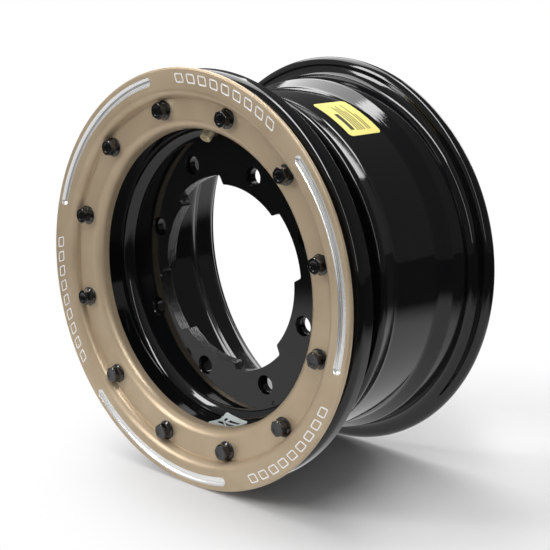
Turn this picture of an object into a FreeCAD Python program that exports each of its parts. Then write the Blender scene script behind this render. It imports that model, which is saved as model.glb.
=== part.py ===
import FreeCAD, Part
import math
import os

# A ten inch beadlock wheel for an off-road vehicle, bare of its tyre. Sizes are in millimetres
# and degrees. The wheel turns about the Y axis: the clamp ring looks towards -Y, the hub face
# towards +Y, and the origin is the centre of the hub face. A station is the distance from the
# clamp ring's front face towards the hub side. A clock angle is counted from +X towards +Z.

Vector = FreeCAD.Vector
origin = Vector(0, 0, 0)
wheel_axis = Vector(0, 1, 0)
clock_axis = Vector(0, -1, 0)

# Clamp ring: a pressed plate with a bolt channel and a rolled bore
ring_radius = 139.7
ring_thickness = 3.3
ring_edge_round = 1.4
ring_bore_radius = 99.3
ring_bore_draft = 1.0
ring_bore_round = 7.0
ring_skirt_end = 16.5
ring_skirt_thickness = 3.0
skirt_bend_round = 3.0
channel_depth = 6.5
channel_radius = 120.1
channel_wall_lean = 1.2
channel_corner_round = 0.5
channel_heel = 1.4
channel_heel_round = 2.0
shoulder_round = 7.5
shoulder_heel = 5.9
shoulder_heel_round = 3.0
cut_edge_round = 0.4

# Arc grooves milled in the clamp ring's flat rim
groove_count = 3
groove_radius = 132.9
groove_width = 6.0
groove_depth = 1.6
groove_half_angle = 29.8

# Clamp bolts: flanged hexagon heads on one circle
bolt_count = 12
bolt_circle_radius = 113.5
first_bolt_angle = 14.4
bolt_diameter = 5.9
bolt_length = 16.0
bolt_across_flats = 10.0
hexagon_sides = 6
bolt_head_height = 6.6
bolt_flange_diameter = 13.2
bolt_flange_edge = 1.0
bolt_flange_rise = 1.3
bolt_point_chamfer = 0.8
bolt_crown_drop = 0.9
bolt_crown_inset = 0.2
bolt_flange_round = 0.3
bolt_turn_between_heads = 23.0
ring_hole_clearance = 0.35
thread_clearance = 0.05
drill_start = 1.0
drill_overrun = 1.0

# Bead ring: the machined ring that the tyre bead is clamped against
bead_gap = 8.0
bead_flange_radius = 137.7
bead_flange_thickness = 6.0
bead_flange_round = 5.5
bead_rib_width = 4.1
bead_rib_depth = 5.7
bead_step_radius = 125.8
bead_body_depth = 12.2
bead_body_radius = 121.0
bead_web_slope = 5.0
bead_web_round = 3.0
bead_pocket_round = 2.0
machined_edge_round = 0.6
skirt_clearance = 0.3

# Spun aluminium shells
shell_thickness = 4.0
bowl_radius = 101.0
bowl_round = 9.0
disc_station = 36.5

# Inner shell: doubler, well, drop centre, bead seat and rolled lip
wheel_width = 149.5
doubler_radius = 90.0
doubler_bend_round = 7.0
well_rise = 8.5
well_bend_round = 3.0
well_wall_lean = 1.2
crest_radius = 123.6
crest_round = 4.6
crest_slope_length = 17.8
drop_radius = 119.2
drop_entry_round = 15.0
drop_exit_round = 8.0
hump_slope_length = 10.0
hump_radius = 124.9
hump_round = 5.0
seat_width = 19.5
seat_rise = 1.6
flange_round = 6.5
lip_radius = 138.5
lip_width = 10.0
lip_round = 4.9
lip_foot_radius = 130.5
lip_foot_round = 2.5
smallest_bend_round = 0.5
largest_round_share = 0.98

# Hub opening and lug holes
hub_repeat = 4
hub_pattern_angle = 26.0
tab_radius = 60.4
recess_radius = 66.5
recess_half_angle = 20.6
recess_corner_round = 2.2
outer_lug_circle = 156.0
inner_lug_circle = 144.0
lug_hole_diameter = 11.0
lug_seat_diameter = 13.4
lug_seat_angle = 60.0

# Welds
ring_weld_leg = 4.0
ring_weld_crown = 2.4
ring_weld_crown_round = 2.0
weld_toe_round = 0.3
well_weld_root = 92.7
well_weld_width = 1.8
valve_weld_clearance = 0.5
valve_weld_gap_depth = 8.0

# Snap-in valve, set square to the bowl's round
valve_clock_angle = 97.0
valve_lean = 45.0
valve_hole_diameter = 11.3
valve_hole_margin = 3.0
stem_diameter = 7.75
stem_reach = 9.6
stem_thread_length = 5.9
stem_neck_diameter = 6.9
stem_neck_slope = 0.4
stem_head_diameter = 10.4
stem_head_height = 1.5
stem_passage_diameter = 3.0
stem_head_round = 0.3
stem_chamfer = 0.5
stem_bore_step = 0.6
stem_bore_reserve = 1.0
collar_diameter = 12.4
collar_height = 2.6
collar_round = 0.6
collar_inset = 0.3
button_diameter = 18.6
button_height = 4.0
button_round = 1.5
core_diameter = 5.0
core_length = 7.1
core_recess = 1.0
core_chamfer = 0.3
core_slot_width = 1.2
core_slot_depth = 1.1
pin_diameter = 1.6
pin_recess = 0.2
pin_travel = 1.2
pin_clearance = 0.05
pin_end_round = 0.2
seal_diameter = 3.8
seal_height = 1.0
seal_clearance = 0.05

# Labels
label_thickness = 0.2
drop_label_length = 38.3
drop_label_width = 31.0
drop_label_round = 3.0
drop_label_angle = 62.2
drop_label_edge_gap = 2.0
bowl_label_length = 25.0
bowl_label_width = 16.5
bowl_label_round = 2.0
bowl_label_angle = -84.4
bowl_label_station = 26.0
bowl_label_lean = 20.0
bowl_label_tilt = 10.3

# Worked out from the sizes above
channel_back = channel_depth + ring_thickness
skirt_radius = ring_bore_radius + ring_skirt_thickness
ring_hole_diameter = bolt_diameter + 2 * ring_hole_clearance
thread_diameter = bolt_diameter + 2 * thread_clearance
bead_flange_front = ring_thickness + bead_gap
bead_flange_back = bead_flange_front + bead_flange_thickness
bead_body_back = channel_back + bead_body_depth
bead_bore_radius = skirt_radius + skirt_clearance
bead_mouth_round = skirt_bend_round + skirt_clearance
shell_front = ring_skirt_end + skirt_clearance
shell_radius = bowl_radius + shell_thickness
doubler_station = disc_station + shell_thickness
mount_station = doubler_station + shell_thickness
well_station = doubler_station + well_rise
flange_front = wheel_width - lip_width
hump_station = flange_front - seat_width
drop_end = hump_station - hump_slope_length
drop_start = well_station + well_wall_lean + crest_slope_length
bowl_round_radius = bowl_radius - bowl_round
bowl_round_station = disc_station - bowl_round
disc_cut_depth = 4 * shell_thickness
near_square = 0.9


def solid_of(shape):
    joined = shape.removeSplitter()
    return max(joined.Solids, key=lambda solid: solid.Volume)


def polar(radius, station, clock_angle):
    angle = math.radians(clock_angle)
    return Vector(radius * math.cos(angle), station - mount_station, radius * math.sin(angle))


def clocked(shape, clock_angle):
    turned_shape = shape.copy()
    turned_shape.rotate(origin, clock_axis, clock_angle)
    return turned_shape


def rounded_face(corners):
    # Each corner is (x, y, round), and the round is an arc tangent to both of its sides.
    count = len(corners)
    points = [Vector(x, y, 0) for x, y, _ in corners]
    sides = [points[(index + 1) % count] - points[index] for index in range(count)]
    reaches = []
    half_angles = []
    for index in range(count):
        half_angle = (sides[index - 1] * -1).getAngle(sides[index]) / 2
        half_angles.append(half_angle)
        reaches.append(corners[index][2] / math.tan(half_angle))
    shares = []
    for index in range(count):
        wanted = reaches[index] + reaches[(index + 1) % count]
        room = largest_round_share * sides[index].Length
        shares.append(room / wanted if wanted > room else 1.0)
    edges = []
    first = None
    last = None
    for index in range(count):
        reach = reaches[index] * min(shares[index - 1], shares[index])
        backward = Vector(sides[index - 1]).normalize() * -1
        forward = Vector(sides[index]).normalize()
        start = points[index] + backward * reach
        end = points[index] + forward * reach
        if last is not None:
            edges.append(Part.LineSegment(last, start).toShape())
        if reach > 0:
            bisector = (backward + forward).normalize()
            to_centre = reach / math.cos(half_angles[index])
            to_arc = to_centre * (1 - math.sin(half_angles[index]))
            edges.append(Part.Arc(start, points[index] + bisector * to_arc, end).toShape())
        first = start if first is None else first
        last = end
    edges.append(Part.LineSegment(last, first).toShape())
    return Part.Face(Part.Wire(edges))


def spun(corners, sweep=360.0):
    # A section of (radius, station, round) corners turned about the wheel's axis.
    placed = [(radius, station - mount_station, corner) for radius, station, corner in corners]
    return rounded_face(placed).revolve(origin, wheel_axis, sweep)


def offset_path(path, distance):
    # The path moved to its left by a distance. A round grows or shrinks with its side.
    points = [Vector(x, y, 0) for x, y, _ in path]
    runs = [(points[index + 1] - points[index]).normalize() for index in range(len(points) - 1)]
    lefts = [Vector(-run.y, run.x, 0) for run in runs]
    moved = []
    for index, point in enumerate(points):
        before = lefts[max(index - 1, 0)]
        after = lefts[min(index, len(lefts) - 1)]
        across = (before + after).normalize()
        shifted = point + across * (distance / across.dot(after))
        corner = path[index][2]
        if 0 < index < len(lefts):
            turn = runs[index - 1].x * runs[index].y - runs[index - 1].y * runs[index].x
            change = -distance if turn > 0 else distance
            corner = max(corner + change, smallest_bend_round)
        moved.append((shifted.x, shifted.y, corner))
    return moved


def clamp_ring_blank():
    shoulder_radius = channel_radius + channel_wall_lean
    return spun([
        (ring_radius, 0, ring_edge_round),
        (shoulder_radius, 0, shoulder_round),
        (channel_radius, channel_depth, channel_corner_round),
        (ring_bore_radius + ring_bore_draft, channel_depth, ring_bore_round),
        (ring_bore_radius, ring_skirt_end, cut_edge_round),
        (skirt_radius, ring_skirt_end, cut_edge_round),
        (skirt_radius, channel_back, skirt_bend_round),
        (channel_radius + channel_heel, channel_back, channel_heel_round),
        (shoulder_radius + shoulder_heel, ring_thickness, shoulder_heel_round),
        (ring_radius, ring_thickness, ring_edge_round),
    ])


def milled_groove(clock_angle):
    # A ball-nosed cutter leaves a round-bottomed arc with round ends.
    ball_radius = groove_width ** 2 / (8 * groove_depth) + groove_depth / 2
    half_angle = groove_half_angle - math.degrees(groove_width / 2 / groove_radius)
    ball_station = groove_depth - ball_radius
    start = polar(groove_radius, ball_station, 0)
    circle = Part.Circle(start, Vector(0, 0, 1), ball_radius).toShape()
    groove = Part.Face(Part.Wire([circle])).revolve(origin, clock_axis, 2 * half_angle)
    for end_angle in (0, 2 * half_angle):
        groove = groove.fuse(Part.makeSphere(ball_radius, polar(groove_radius, ball_station, end_angle)))
    return clocked(groove, clock_angle - half_angle)


def bolt_angles():
    return [first_bolt_angle + index * 360 / bolt_count for index in range(bolt_count)]


def bolt_holes(diameter, start, depth):
    # The drill starts clear of the front face and runs out behind the rear one.
    reach = drill_start + depth + drill_overrun
    holes = []
    for clock_angle in bolt_angles():
        tip = polar(bolt_circle_radius, start - drill_start, clock_angle)
        holes.append(Part.makeCylinder(diameter / 2, reach, tip, wheel_axis))
    return holes


def clamp_ring():
    ring = clamp_ring_blank()
    grooves = [
        milled_groove(first_bolt_angle + index * 360 / groove_count) for index in range(groove_count)
    ]
    holes = bolt_holes(ring_hole_diameter, channel_depth, ring_thickness)
    return solid_of(ring.cut(grooves + holes))


def bead_ring():
    rib_radius = bead_flange_radius - bead_rib_width
    web_radius = bead_body_radius + bead_web_slope
    rib_back = bead_flange_back + bead_rib_depth
    ring = spun([
        (bead_bore_radius, channel_back, bead_mouth_round),
        (bead_step_radius, channel_back, machined_edge_round),
        (bead_step_radius, bead_flange_front, machined_edge_round),
        (bead_flange_radius, bead_flange_front, bead_flange_round),
        (bead_flange_radius, rib_back, machined_edge_round),
        (rib_radius, rib_back, machined_edge_round),
        (rib_radius, bead_flange_back, bead_pocket_round),
        (web_radius, bead_flange_back, bead_web_round),
        (bead_body_radius, bead_body_back, bead_pocket_round),
        (shell_radius, bead_body_back, 0),
        (shell_radius, shell_front, 0),
        (bead_bore_radius, shell_front, machined_edge_round),
    ])
    return solid_of(ring.cut(bolt_holes(thread_diameter, channel_back, bead_body_depth)))


def clamp_bolt(clock_angle, head_turn):
    # Built about the Y axis with the underside of its head at zero, then set on its circle.
    hexagon_radius = bolt_across_flats / math.sqrt(3)
    flange_radius = bolt_flange_diameter / 2
    flange_top = bolt_flange_edge + bolt_flange_rise
    corners = []
    for side in range(hexagon_sides + 1):
        angle = math.radians(360 / hexagon_sides * side + head_turn)
        corners.append(Vector(hexagon_radius * math.cos(angle), 0, hexagon_radius * math.sin(angle)))
    prism = Part.Face(Part.makePolygon(corners)).extrude(Vector(0, -bolt_head_height, 0))
    crown = rounded_face([
        (0, 0, 0),
        (bolt_across_flats, 0, 0),
        (hexagon_radius, bolt_crown_drop - bolt_head_height, 0),
        (bolt_across_flats / 2 - bolt_crown_inset, -bolt_head_height, 0),
        (0, -bolt_head_height, 0),
    ]).revolve(origin, wheel_axis, 360)
    flange = rounded_face([
        (0, 0, 0),
        (flange_radius, 0, bolt_flange_round),
        (flange_radius, -bolt_flange_edge, bolt_flange_round),
        (bolt_across_flats / 2, -flange_top, 0),
        (0, -flange_top, 0),
    ]).revolve(origin, wheel_axis, 360)
    shank = rounded_face([
        (0, 0, 0),
        (bolt_diameter / 2, 0, 0),
        (bolt_diameter / 2, bolt_length - bolt_point_chamfer, 0),
        (bolt_diameter / 2 - bolt_point_chamfer, bolt_length, 0),
        (0, bolt_length, 0),
    ]).revolve(origin, wheel_axis, 360)
    bolt = solid_of(prism.common(crown).fuse([flange, shank]))
    bolt.translate(polar(bolt_circle_radius, channel_depth, clock_angle))
    return bolt


def hub_opening():
    # The round opening with its four shallow recesses, as one cutter through the disc.
    start = disc_station - disc_cut_depth / 2
    base = Vector(0, start - mount_station, 0)
    middle = Part.makeCylinder(tab_radius, disc_cut_depth, base, wheel_axis)
    recesses = []
    for index in range(hub_repeat):
        pie = Part.makeCylinder(
            recess_radius, disc_cut_depth, base, wheel_axis, 2 * recess_half_angle)
        edge = max((v.Point for v in pie.Vertexes), key=lambda p: math.atan2(p.z, p.x))
        pie_end = math.degrees(math.atan2(edge.z, edge.x))
        centre = hub_pattern_angle + index * 360 / hub_repeat
        recesses.append(clocked(pie, centre + recess_half_angle - pie_end))
    cutter = solid_of(middle.fuse(recesses))
    upright = []
    for edge in cutter.Edges:
        ends = [vertex.Point for vertex in edge.Vertexes]
        if len(ends) == 2 and abs(ends[0].y - ends[1].y) > disc_cut_depth / 2:
            sides = cutter.ancestorsOfType(edge, Part.Face)
            normals = [side.normalAt(*side.Surface.parameter(ends[0])) for side in sides]
            if abs(normals[0].dot(normals[-1])) < near_square:
                upright.append(edge)
    return cutter.makeFillet(recess_corner_round, upright)


def lug_holes():
    # Two circles of four: the wide one in the recesses, the other in the tabs between them.
    hole_radius = lug_hole_diameter / 2
    seat_radius = lug_seat_diameter / 2
    seat_depth = (seat_radius - hole_radius) / math.tan(math.radians(lug_seat_angle / 2))
    start = disc_station - disc_cut_depth / 2
    cutters = []
    for index in range(hub_repeat):
        wide_angle = hub_pattern_angle + index * 360 / hub_repeat
        tab_angle = wide_angle + 180 / hub_repeat
        for circle, clock_angle in ((outer_lug_circle, wide_angle), (inner_lug_circle, tab_angle)):
            hole_base = polar(circle / 2, start, clock_angle)
            seat_base = polar(circle / 2, disc_station, clock_angle)
            cutters.append(Part.makeCylinder(hole_radius, disc_cut_depth, hole_base, wheel_axis))
            cutters.append(Part.makeCone(seat_radius, hole_radius, seat_depth, seat_base, wheel_axis))
    return cutters


def valve_placement():
    # The valve's own Y axis runs from the mouth to the tyre side, through the centre of the
    # bowl's round, so that the valve stands square to the shell.
    outward = polar(1, mount_station, valve_clock_angle)
    lean = math.radians(valve_lean)
    direction = outward * math.cos(lean) + wheel_axis * math.sin(lean)
    seat = polar(bowl_round_radius, bowl_round_station, valve_clock_angle)
    return FreeCAD.Placement(seat, FreeCAD.Rotation(wheel_axis, direction))


def on_valve(corners):
    shape = rounded_face(corners).revolve(origin, wheel_axis, 360)
    shape.Placement = valve_placement()
    return shape


def outer_shell():
    path = [
        (shell_radius, shell_front, 0),
        (shell_radius, doubler_station, bowl_round + shell_thickness),
        (tab_radius - shell_thickness, doubler_station, 0),
    ]
    inside = offset_path(path, shell_thickness)
    shell = spun(path + inside[::-1])
    hole_start = bowl_round - valve_hole_margin
    hole_end = bowl_round + shell_thickness + valve_hole_margin
    valve_hole = on_valve([
        (0, hole_start, 0),
        (valve_hole_diameter / 2, hole_start, 0),
        (valve_hole_diameter / 2, hole_end, 0),
        (0, hole_end, 0),
    ])
    return solid_of(shell.cut([hub_opening(), valve_hole] + lug_holes()))


def inner_path():
    # The inner shell's tyre side, from the hub opening to the rear flange.
    return [
        (tab_radius - shell_thickness, doubler_station, 0),
        (doubler_radius, doubler_station, doubler_bend_round),
        (doubler_radius + well_rise, well_station, well_bend_round),
        (crest_radius, well_station + well_wall_lean, crest_round),
        (drop_radius, drop_start, drop_entry_round),
        (drop_radius, drop_end, drop_exit_round),
        (hump_radius, hump_station, hump_round),
        (hump_radius + seat_rise, flange_front, flange_round),
        (lip_radius, flange_front, lip_round),
    ]


def inner_shell():
    path = inner_path()
    inside = offset_path(path, shell_thickness)
    lip = [
        (lip_radius, wheel_width, lip_round),
        (lip_foot_radius, wheel_width, lip_foot_round),
        (lip_foot_radius, flange_front + shell_thickness, smallest_bend_round),
    ]
    shell = spun(path + lip + inside[-2::-1])
    return solid_of(shell.cut([hub_opening()] + lug_holes()))


def ring_weld():
    return spun([
        (shell_radius, bead_body_back, 0),
        (shell_radius + ring_weld_leg, bead_body_back, weld_toe_round),
        (shell_radius + ring_weld_crown, bead_body_back + ring_weld_crown, ring_weld_crown_round),
        (shell_radius, bead_body_back + ring_weld_leg, weld_toe_round),
    ])


def well_weld():
    # A bead between the back of the bowl's round and the slope of the inner shell. It stops
    # short of the valve's button on both sides.
    outer_round = bowl_round + shell_thickness

    def on_round(radius):
        rise = math.sqrt(outer_round ** 2 - (radius - bowl_round_radius) ** 2)
        return Vector(radius, bowl_round_station + rise - mount_station, 0)

    def on_slope(radius):
        return Vector(radius, doubler_station + radius - doubler_radius - mount_station, 0)

    root = max(well_weld_root, doubler_radius, bowl_round_radius)
    rim = root + well_weld_width
    middle = (root + rim) / 2
    corners = [on_round(root), on_round(rim), on_slope(rim), on_slope(root)]
    face = Part.Face(Part.Wire([
        Part.Arc(corners[0], on_round(middle), corners[1]).toShape(),
        Part.LineSegment(corners[1], corners[2]).toShape(),
        Part.LineSegment(corners[2], corners[3]).toShape(),
        Part.LineSegment(corners[3], corners[0]).toShape(),
    ]))
    button_room = on_valve([
        (0, 0, 0),
        (button_diameter / 2 + valve_weld_clearance, 0, 0),
        (button_diameter / 2 + valve_weld_clearance, outer_round + valve_weld_gap_depth, 0),
        (0, outer_round + valve_weld_gap_depth, 0),
    ])
    return solid_of(face.revolve(origin, wheel_axis, 360).cut(button_room))


def stem_outline(bored):
    # Distances run along the valve's axis from the centre of the bowl's round.
    mouth = bowl_round - stem_reach
    back = bowl_round + shell_thickness + button_height
    chamber_end = mouth + core_recess + core_length + seal_height + pin_travel + stem_bore_reserve
    thread_end = mouth + stem_chamfer + stem_thread_length
    head = back - stem_head_height
    outside = [
        (stem_diameter / 2 - stem_chamfer, mouth, 0),
        (stem_diameter / 2, mouth + stem_chamfer, 0),
        (stem_diameter / 2, thread_end, 0),
        (stem_neck_diameter / 2, thread_end + stem_neck_slope, 0),
        (stem_neck_diameter / 2, head, 0),
        (stem_head_diameter / 2, head, stem_head_round),
        (stem_head_diameter / 2, back, stem_head_round),
    ]
    if not bored:
        return [(0, mouth, 0)] + outside + [(0, back, 0)]
    return outside + [
        (stem_passage_diameter / 2, back, 0),
        (stem_passage_diameter / 2, chamber_end, 0),
        (core_diameter / 2, chamber_end - stem_bore_step, 0),
        (core_diameter / 2, mouth, 0),
    ]


def valve_grommet(shell):
    wall_back = bowl_round + shell_thickness
    back = wall_back + button_height
    button_radius = button_diameter / 2
    button_foot = math.sqrt(max(wall_back ** 2 - button_radius ** 2, 0))
    body = on_valve([
        (0, bowl_round - collar_height, 0),
        (collar_diameter / 2, bowl_round - collar_height, collar_round),
        (collar_diameter / 2, bowl_round + collar_inset, 0),
        (valve_hole_diameter / 2, bowl_round + collar_inset, 0),
        (valve_hole_diameter / 2, wall_back, 0),
        (0, wall_back, 0),
    ])
    button = on_valve([
        (0, button_foot, 0),
        (button_radius, button_foot, 0),
        (button_radius, back, button_round),
        (0, back, 0),
    ])
    rubber = body.fuse(button).cut([shell, on_valve(stem_outline(False))])
    return solid_of(rubber)


def valve_stem():
    return on_valve(stem_outline(True))


def valve_core():
    mouth = bowl_round - stem_reach + core_recess
    bore = pin_diameter / 2 + pin_clearance
    core = on_valve([
        (bore, mouth, 0),
        (core_diameter / 2 - core_chamfer, mouth, 0),
        (core_diameter / 2, mouth + core_chamfer, 0),
        (core_diameter / 2, mouth + core_length, 0),
        (bore, mouth + core_length, 0),
    ])
    slot = Part.makeBox(core_diameter * 2, core_slot_depth, core_slot_width)
    slot.translate(Vector(-core_diameter, mouth, -core_slot_width / 2))
    slot.Placement = valve_placement().multiply(slot.Placement)
    return solid_of(core.cut(slot))


def valve_pin():
    mouth = bowl_round - stem_reach
    seal_front = mouth + core_recess + core_length + seal_clearance
    return on_valve([
        (0, mouth + pin_recess, 0),
        (pin_diameter / 2, mouth + pin_recess, pin_end_round),
        (pin_diameter / 2, seal_front, 0),
        (seal_diameter / 2, seal_front, pin_end_round),
        (seal_diameter / 2, seal_front + seal_height, pin_end_round),
        (0, seal_front + seal_height, 0),
    ])


def patch(skin, radius, length, width, corner, clock_angle, station, lean, tilt):
    # The part of a film, laid on the left of a path, that a rounded window cuts out. The window
    # looks outward from the axis, leaned towards the hub side and tilted in its own plane.
    reach = radius / 2
    outward = polar(1, mount_station, clock_angle)
    along = polar(1, mount_station, clock_angle + 90)
    view = outward * math.cos(math.radians(lean)) + wheel_axis * math.sin(math.radians(lean))
    window = Part.makeBox(length, width, reach)
    window.translate(Vector(-length / 2, -width / 2, -reach / 2))
    corners = [edge for edge in window.Edges if abs(edge.tangentAt(0).z) > near_square]
    window = window.makeFillet(corner, corners)
    window.rotate(origin, Vector(0, 0, 1), tilt)
    turn = FreeCAD.Rotation(along, view.cross(along), view, "ZXY")
    middle = polar(radius, station, clock_angle)
    window.Placement = FreeCAD.Placement(middle, turn).multiply(window.Placement)
    inside = offset_path(skin, label_thickness)
    return solid_of(spun(skin + inside[::-1]).common(window))


def drop_label():
    skin = inner_path()[-2:2:-1]
    station = drop_end - drop_label_edge_gap - drop_label_width / 2
    return patch(
        skin, drop_radius, drop_label_length, drop_label_width, drop_label_round,
        drop_label_angle, station, 0, 0)


def bowl_label():
    skin = [
        (bowl_radius, shell_front, 0),
        (bowl_radius, disc_station, bowl_round),
        (bowl_round_radius - bowl_round, disc_station, 0),
    ]
    return patch(
        skin, bowl_radius, bowl_label_length, bowl_label_width, bowl_label_round,
        bowl_label_angle, bowl_label_station, bowl_label_lean, bowl_label_tilt)


def wheel():
    shell = outer_shell()
    nodes = {
        "clamp_ring": clamp_ring(),
        "bead_ring": bead_ring(),
        "outer_shell": shell,
        "inner_shell": inner_shell(),
        "ring_weld": ring_weld(),
        "well_weld": well_weld(),
        "valve_grommet": valve_grommet(shell),
        "valve_stem": valve_stem(),
        "valve_core": valve_core(),
        "valve_pin": valve_pin(),
        "drop_label": drop_label(),
        "bowl_label": bowl_label(),
    }
    for index, clock_angle in enumerate(bolt_angles()):
        node = "clamp_bolt_%02d" % (index + 1)
        nodes[node] = clamp_bolt(clock_angle, index * bolt_turn_between_heads)
    return nodes


os.makedirs("parts", exist_ok=True)
for name, shape in wheel().items():
    shape.exportStep("parts/%s.step" % name)
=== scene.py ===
import bpy
import bmesh
import math
from mathutils import Matrix, Vector


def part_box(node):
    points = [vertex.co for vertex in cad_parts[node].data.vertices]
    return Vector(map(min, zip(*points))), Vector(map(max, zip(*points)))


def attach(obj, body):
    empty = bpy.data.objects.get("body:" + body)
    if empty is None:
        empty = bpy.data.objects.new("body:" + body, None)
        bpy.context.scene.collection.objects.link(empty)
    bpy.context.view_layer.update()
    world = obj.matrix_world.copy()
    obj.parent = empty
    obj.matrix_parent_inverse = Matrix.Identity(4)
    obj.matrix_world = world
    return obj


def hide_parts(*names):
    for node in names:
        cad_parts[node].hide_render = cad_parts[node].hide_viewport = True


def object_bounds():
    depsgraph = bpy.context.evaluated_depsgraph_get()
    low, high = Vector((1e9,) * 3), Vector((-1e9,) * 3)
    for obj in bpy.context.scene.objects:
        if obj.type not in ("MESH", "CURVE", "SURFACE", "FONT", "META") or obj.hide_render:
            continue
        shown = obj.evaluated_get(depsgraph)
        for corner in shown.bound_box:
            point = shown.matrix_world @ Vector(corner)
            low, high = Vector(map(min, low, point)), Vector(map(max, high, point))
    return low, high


# Beadlock wheel: finishes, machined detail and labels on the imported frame.
# Sizes are in millimetres. A station is the depth behind the clamp ring's front face.

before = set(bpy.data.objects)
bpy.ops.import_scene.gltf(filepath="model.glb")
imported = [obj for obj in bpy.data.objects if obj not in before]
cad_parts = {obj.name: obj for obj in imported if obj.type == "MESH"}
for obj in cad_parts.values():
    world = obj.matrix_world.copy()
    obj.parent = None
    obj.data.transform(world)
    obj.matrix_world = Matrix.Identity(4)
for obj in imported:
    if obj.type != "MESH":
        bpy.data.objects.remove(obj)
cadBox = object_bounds()
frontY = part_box("clamp_ring")[0].y
print("frame loaded", len(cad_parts), "nodes")

spinSteps = 320  # facets round the big pieces
smallSteps = 64  # facets round the small ones
arcStep = 7.5  # degrees of turn for each facet of a rounded corner
sameSpot = 0.001  # a corner is found again within this distance
weldSpot = 0.0005  # points nearer than this become one


# Lengths, places and mesh steps that every piece uses
def mm(value):
    return value / 1000


def station(depth):
    return frontY + mm(depth)


def polar(radius, depth, clock):
    turn = math.radians(clock)
    return Vector((mm(radius) * math.cos(turn), station(depth), mm(radius) * math.sin(turn)))


def deselectAll():
    if bpy.context.object and bpy.context.object.mode != "OBJECT":
        bpy.ops.object.mode_set(mode="OBJECT")
    bpy.ops.object.select_all(action="DESELECT")


def activate(piece):
    deselectAll()
    piece.select_set(True)
    bpy.context.view_layer.objects.active = piece


def applyModifiers(piece):
    activate(piece)
    for modifier in list(piece.modifiers):
        bpy.ops.object.modifier_apply(modifier=modifier.name)


def pickVertices(piece, test):
    mesh = bmesh.from_edit_mesh(piece.data)
    for item in list(mesh.faces) + list(mesh.edges):
        item.select = False
    for vertex in mesh.verts:
        vertex.select = test(vertex)
    mesh.select_flush_mode()
    bmesh.update_edit_mesh(piece.data)


def smoothByAngle(piece, degrees=30):
    activate(piece)
    bpy.ops.object.shade_smooth_by_angle(angle=math.radians(degrees))


def drawOutline(name, corners):
    # corners are (x, y, round) in millimetres; each is extruded from the last, then rounded
    points = [Vector((mm(x), mm(y), 0)) for x, y, _ in corners]
    deselectAll()
    bpy.ops.mesh.primitive_plane_add(size=mm(1), location=points[0])
    piece = bpy.context.object
    piece.name = name
    bpy.ops.object.transform_apply(location=True, rotation=True, scale=True)
    bpy.ops.object.mode_set(mode="EDIT")
    bpy.ops.mesh.select_all(action="SELECT")
    bpy.ops.mesh.merge(type="CENTER")
    for last, following in zip(points, points[1:]):
        bpy.ops.mesh.extrude_region_move(TRANSFORM_OT_translate={"value": following - last})
    bpy.ops.mesh.select_all(action="SELECT")
    bpy.ops.mesh.edge_face_add()
    for index, corner in enumerate(corners):
        if corner[2] <= 0:
            continue
        point = points[index]
        before = points[index - 1] - point
        after = points[(index + 1) % len(points)] - point
        half = before.angle(after) / 2
        pickVertices(piece, lambda vertex: (vertex.co - point).length < mm(sameSpot))
        bpy.ops.mesh.bevel(
            affect="VERTICES",
            offset_type="OFFSET",
            offset=mm(corner[2]) / math.tan(half),
            segments=max(2, round((180 - 2 * math.degrees(half)) / arcStep)),
            profile=0.5,
        )
    return piece


def spinOutline(name, corners, steps=spinSteps):
    # the outline is turned about the Y axis through the object's own origin
    piece = drawOutline(name, corners)
    bpy.ops.mesh.select_all(action="SELECT")
    bpy.ops.mesh.delete(type="ONLY_FACE")
    # an edge on the axis would only fold onto itself
    pickVertices(piece, lambda vertex: abs(vertex.co.x) < mm(sameSpot))
    bpy.ops.mesh.delete(type="EDGE_FACE")
    bpy.ops.mesh.select_all(action="SELECT")
    bpy.ops.mesh.spin(steps=steps, angle=math.radians(360), center=(0, 0, 0), axis=(0, 1, 0))
    bpy.ops.mesh.select_all(action="SELECT")
    bpy.ops.mesh.remove_doubles(threshold=mm(weldSpot))
    bpy.ops.mesh.normals_make_consistent(inside=False)
    bpy.ops.object.mode_set(mode="OBJECT")
    return piece


def atStation(corners):
    return [(radius, depth + frontY * 1000, corner) for radius, depth, corner in corners]


def offsetPath(path, distance):
    # the sheet's other face: the path moved to its left by the sheet's thickness
    points = [Vector((x, y)) for x, y, _ in path]
    runs = [(b - a).normalized() for a, b in zip(points, points[1:])]
    lefts = [Vector((-run.y, run.x)) for run in runs]
    moved = []
    for index, point in enumerate(points):
        before = lefts[max(index - 1, 0)]
        after = lefts[min(index, len(lefts) - 1)]
        across = (before + after).normalized()
        shifted = point + across * (distance / across.dot(after))
        corner = path[index][2]
        if 0 < index < len(lefts):
            turnsLeft = runs[index - 1].cross(runs[index]) > 0
            corner = max(corner - distance if turnsLeft else corner + distance, 0.5)
        moved.append((shifted.x, shifted.y, corner))
    return moved


def copyOf(piece, name, matrix):
    deselectAll()
    twin = piece.copy()
    twin.data = piece.data.copy()
    twin.name = name
    bpy.context.collection.objects.link(twin)
    twin.data.transform(matrix)
    return twin


def joinPieces(pieces, name):
    activate(pieces[0])
    for piece in pieces:
        piece.select_set(True)
    bpy.ops.object.join()
    pieces[0].name = name
    return pieces[0]


def cutWith(piece, cutters):
    for cutter in cutters:
        modifier = piece.modifiers.new("cut", "BOOLEAN")
        modifier.operation = "DIFFERENCE"
        modifier.solver = "EXACT"
        modifier.material_mode = "TRANSFER"
        modifier.object = cutter
    applyModifiers(piece)
    for cutter in cutters:
        bpy.data.objects.remove(cutter)
    return piece


def finishPiece(piece, material, slotName, body, *nodes):
    if material:
        piece.data.materials.clear()
        piece.data.materials.append(material)
    if nodes:
        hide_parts(*nodes)
    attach(piece, body)
    return piece


# Colour and nodes
def linearColour(hexCode):
    values = [int(hexCode[i:i + 2], 16) / 255 for i in (1, 3, 5)]
    values = [v / 12.92 if v <= 0.04045 else ((v + 0.055) / 1.055) ** 2.4 for v in values]
    return (*values, 1.0)


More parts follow.
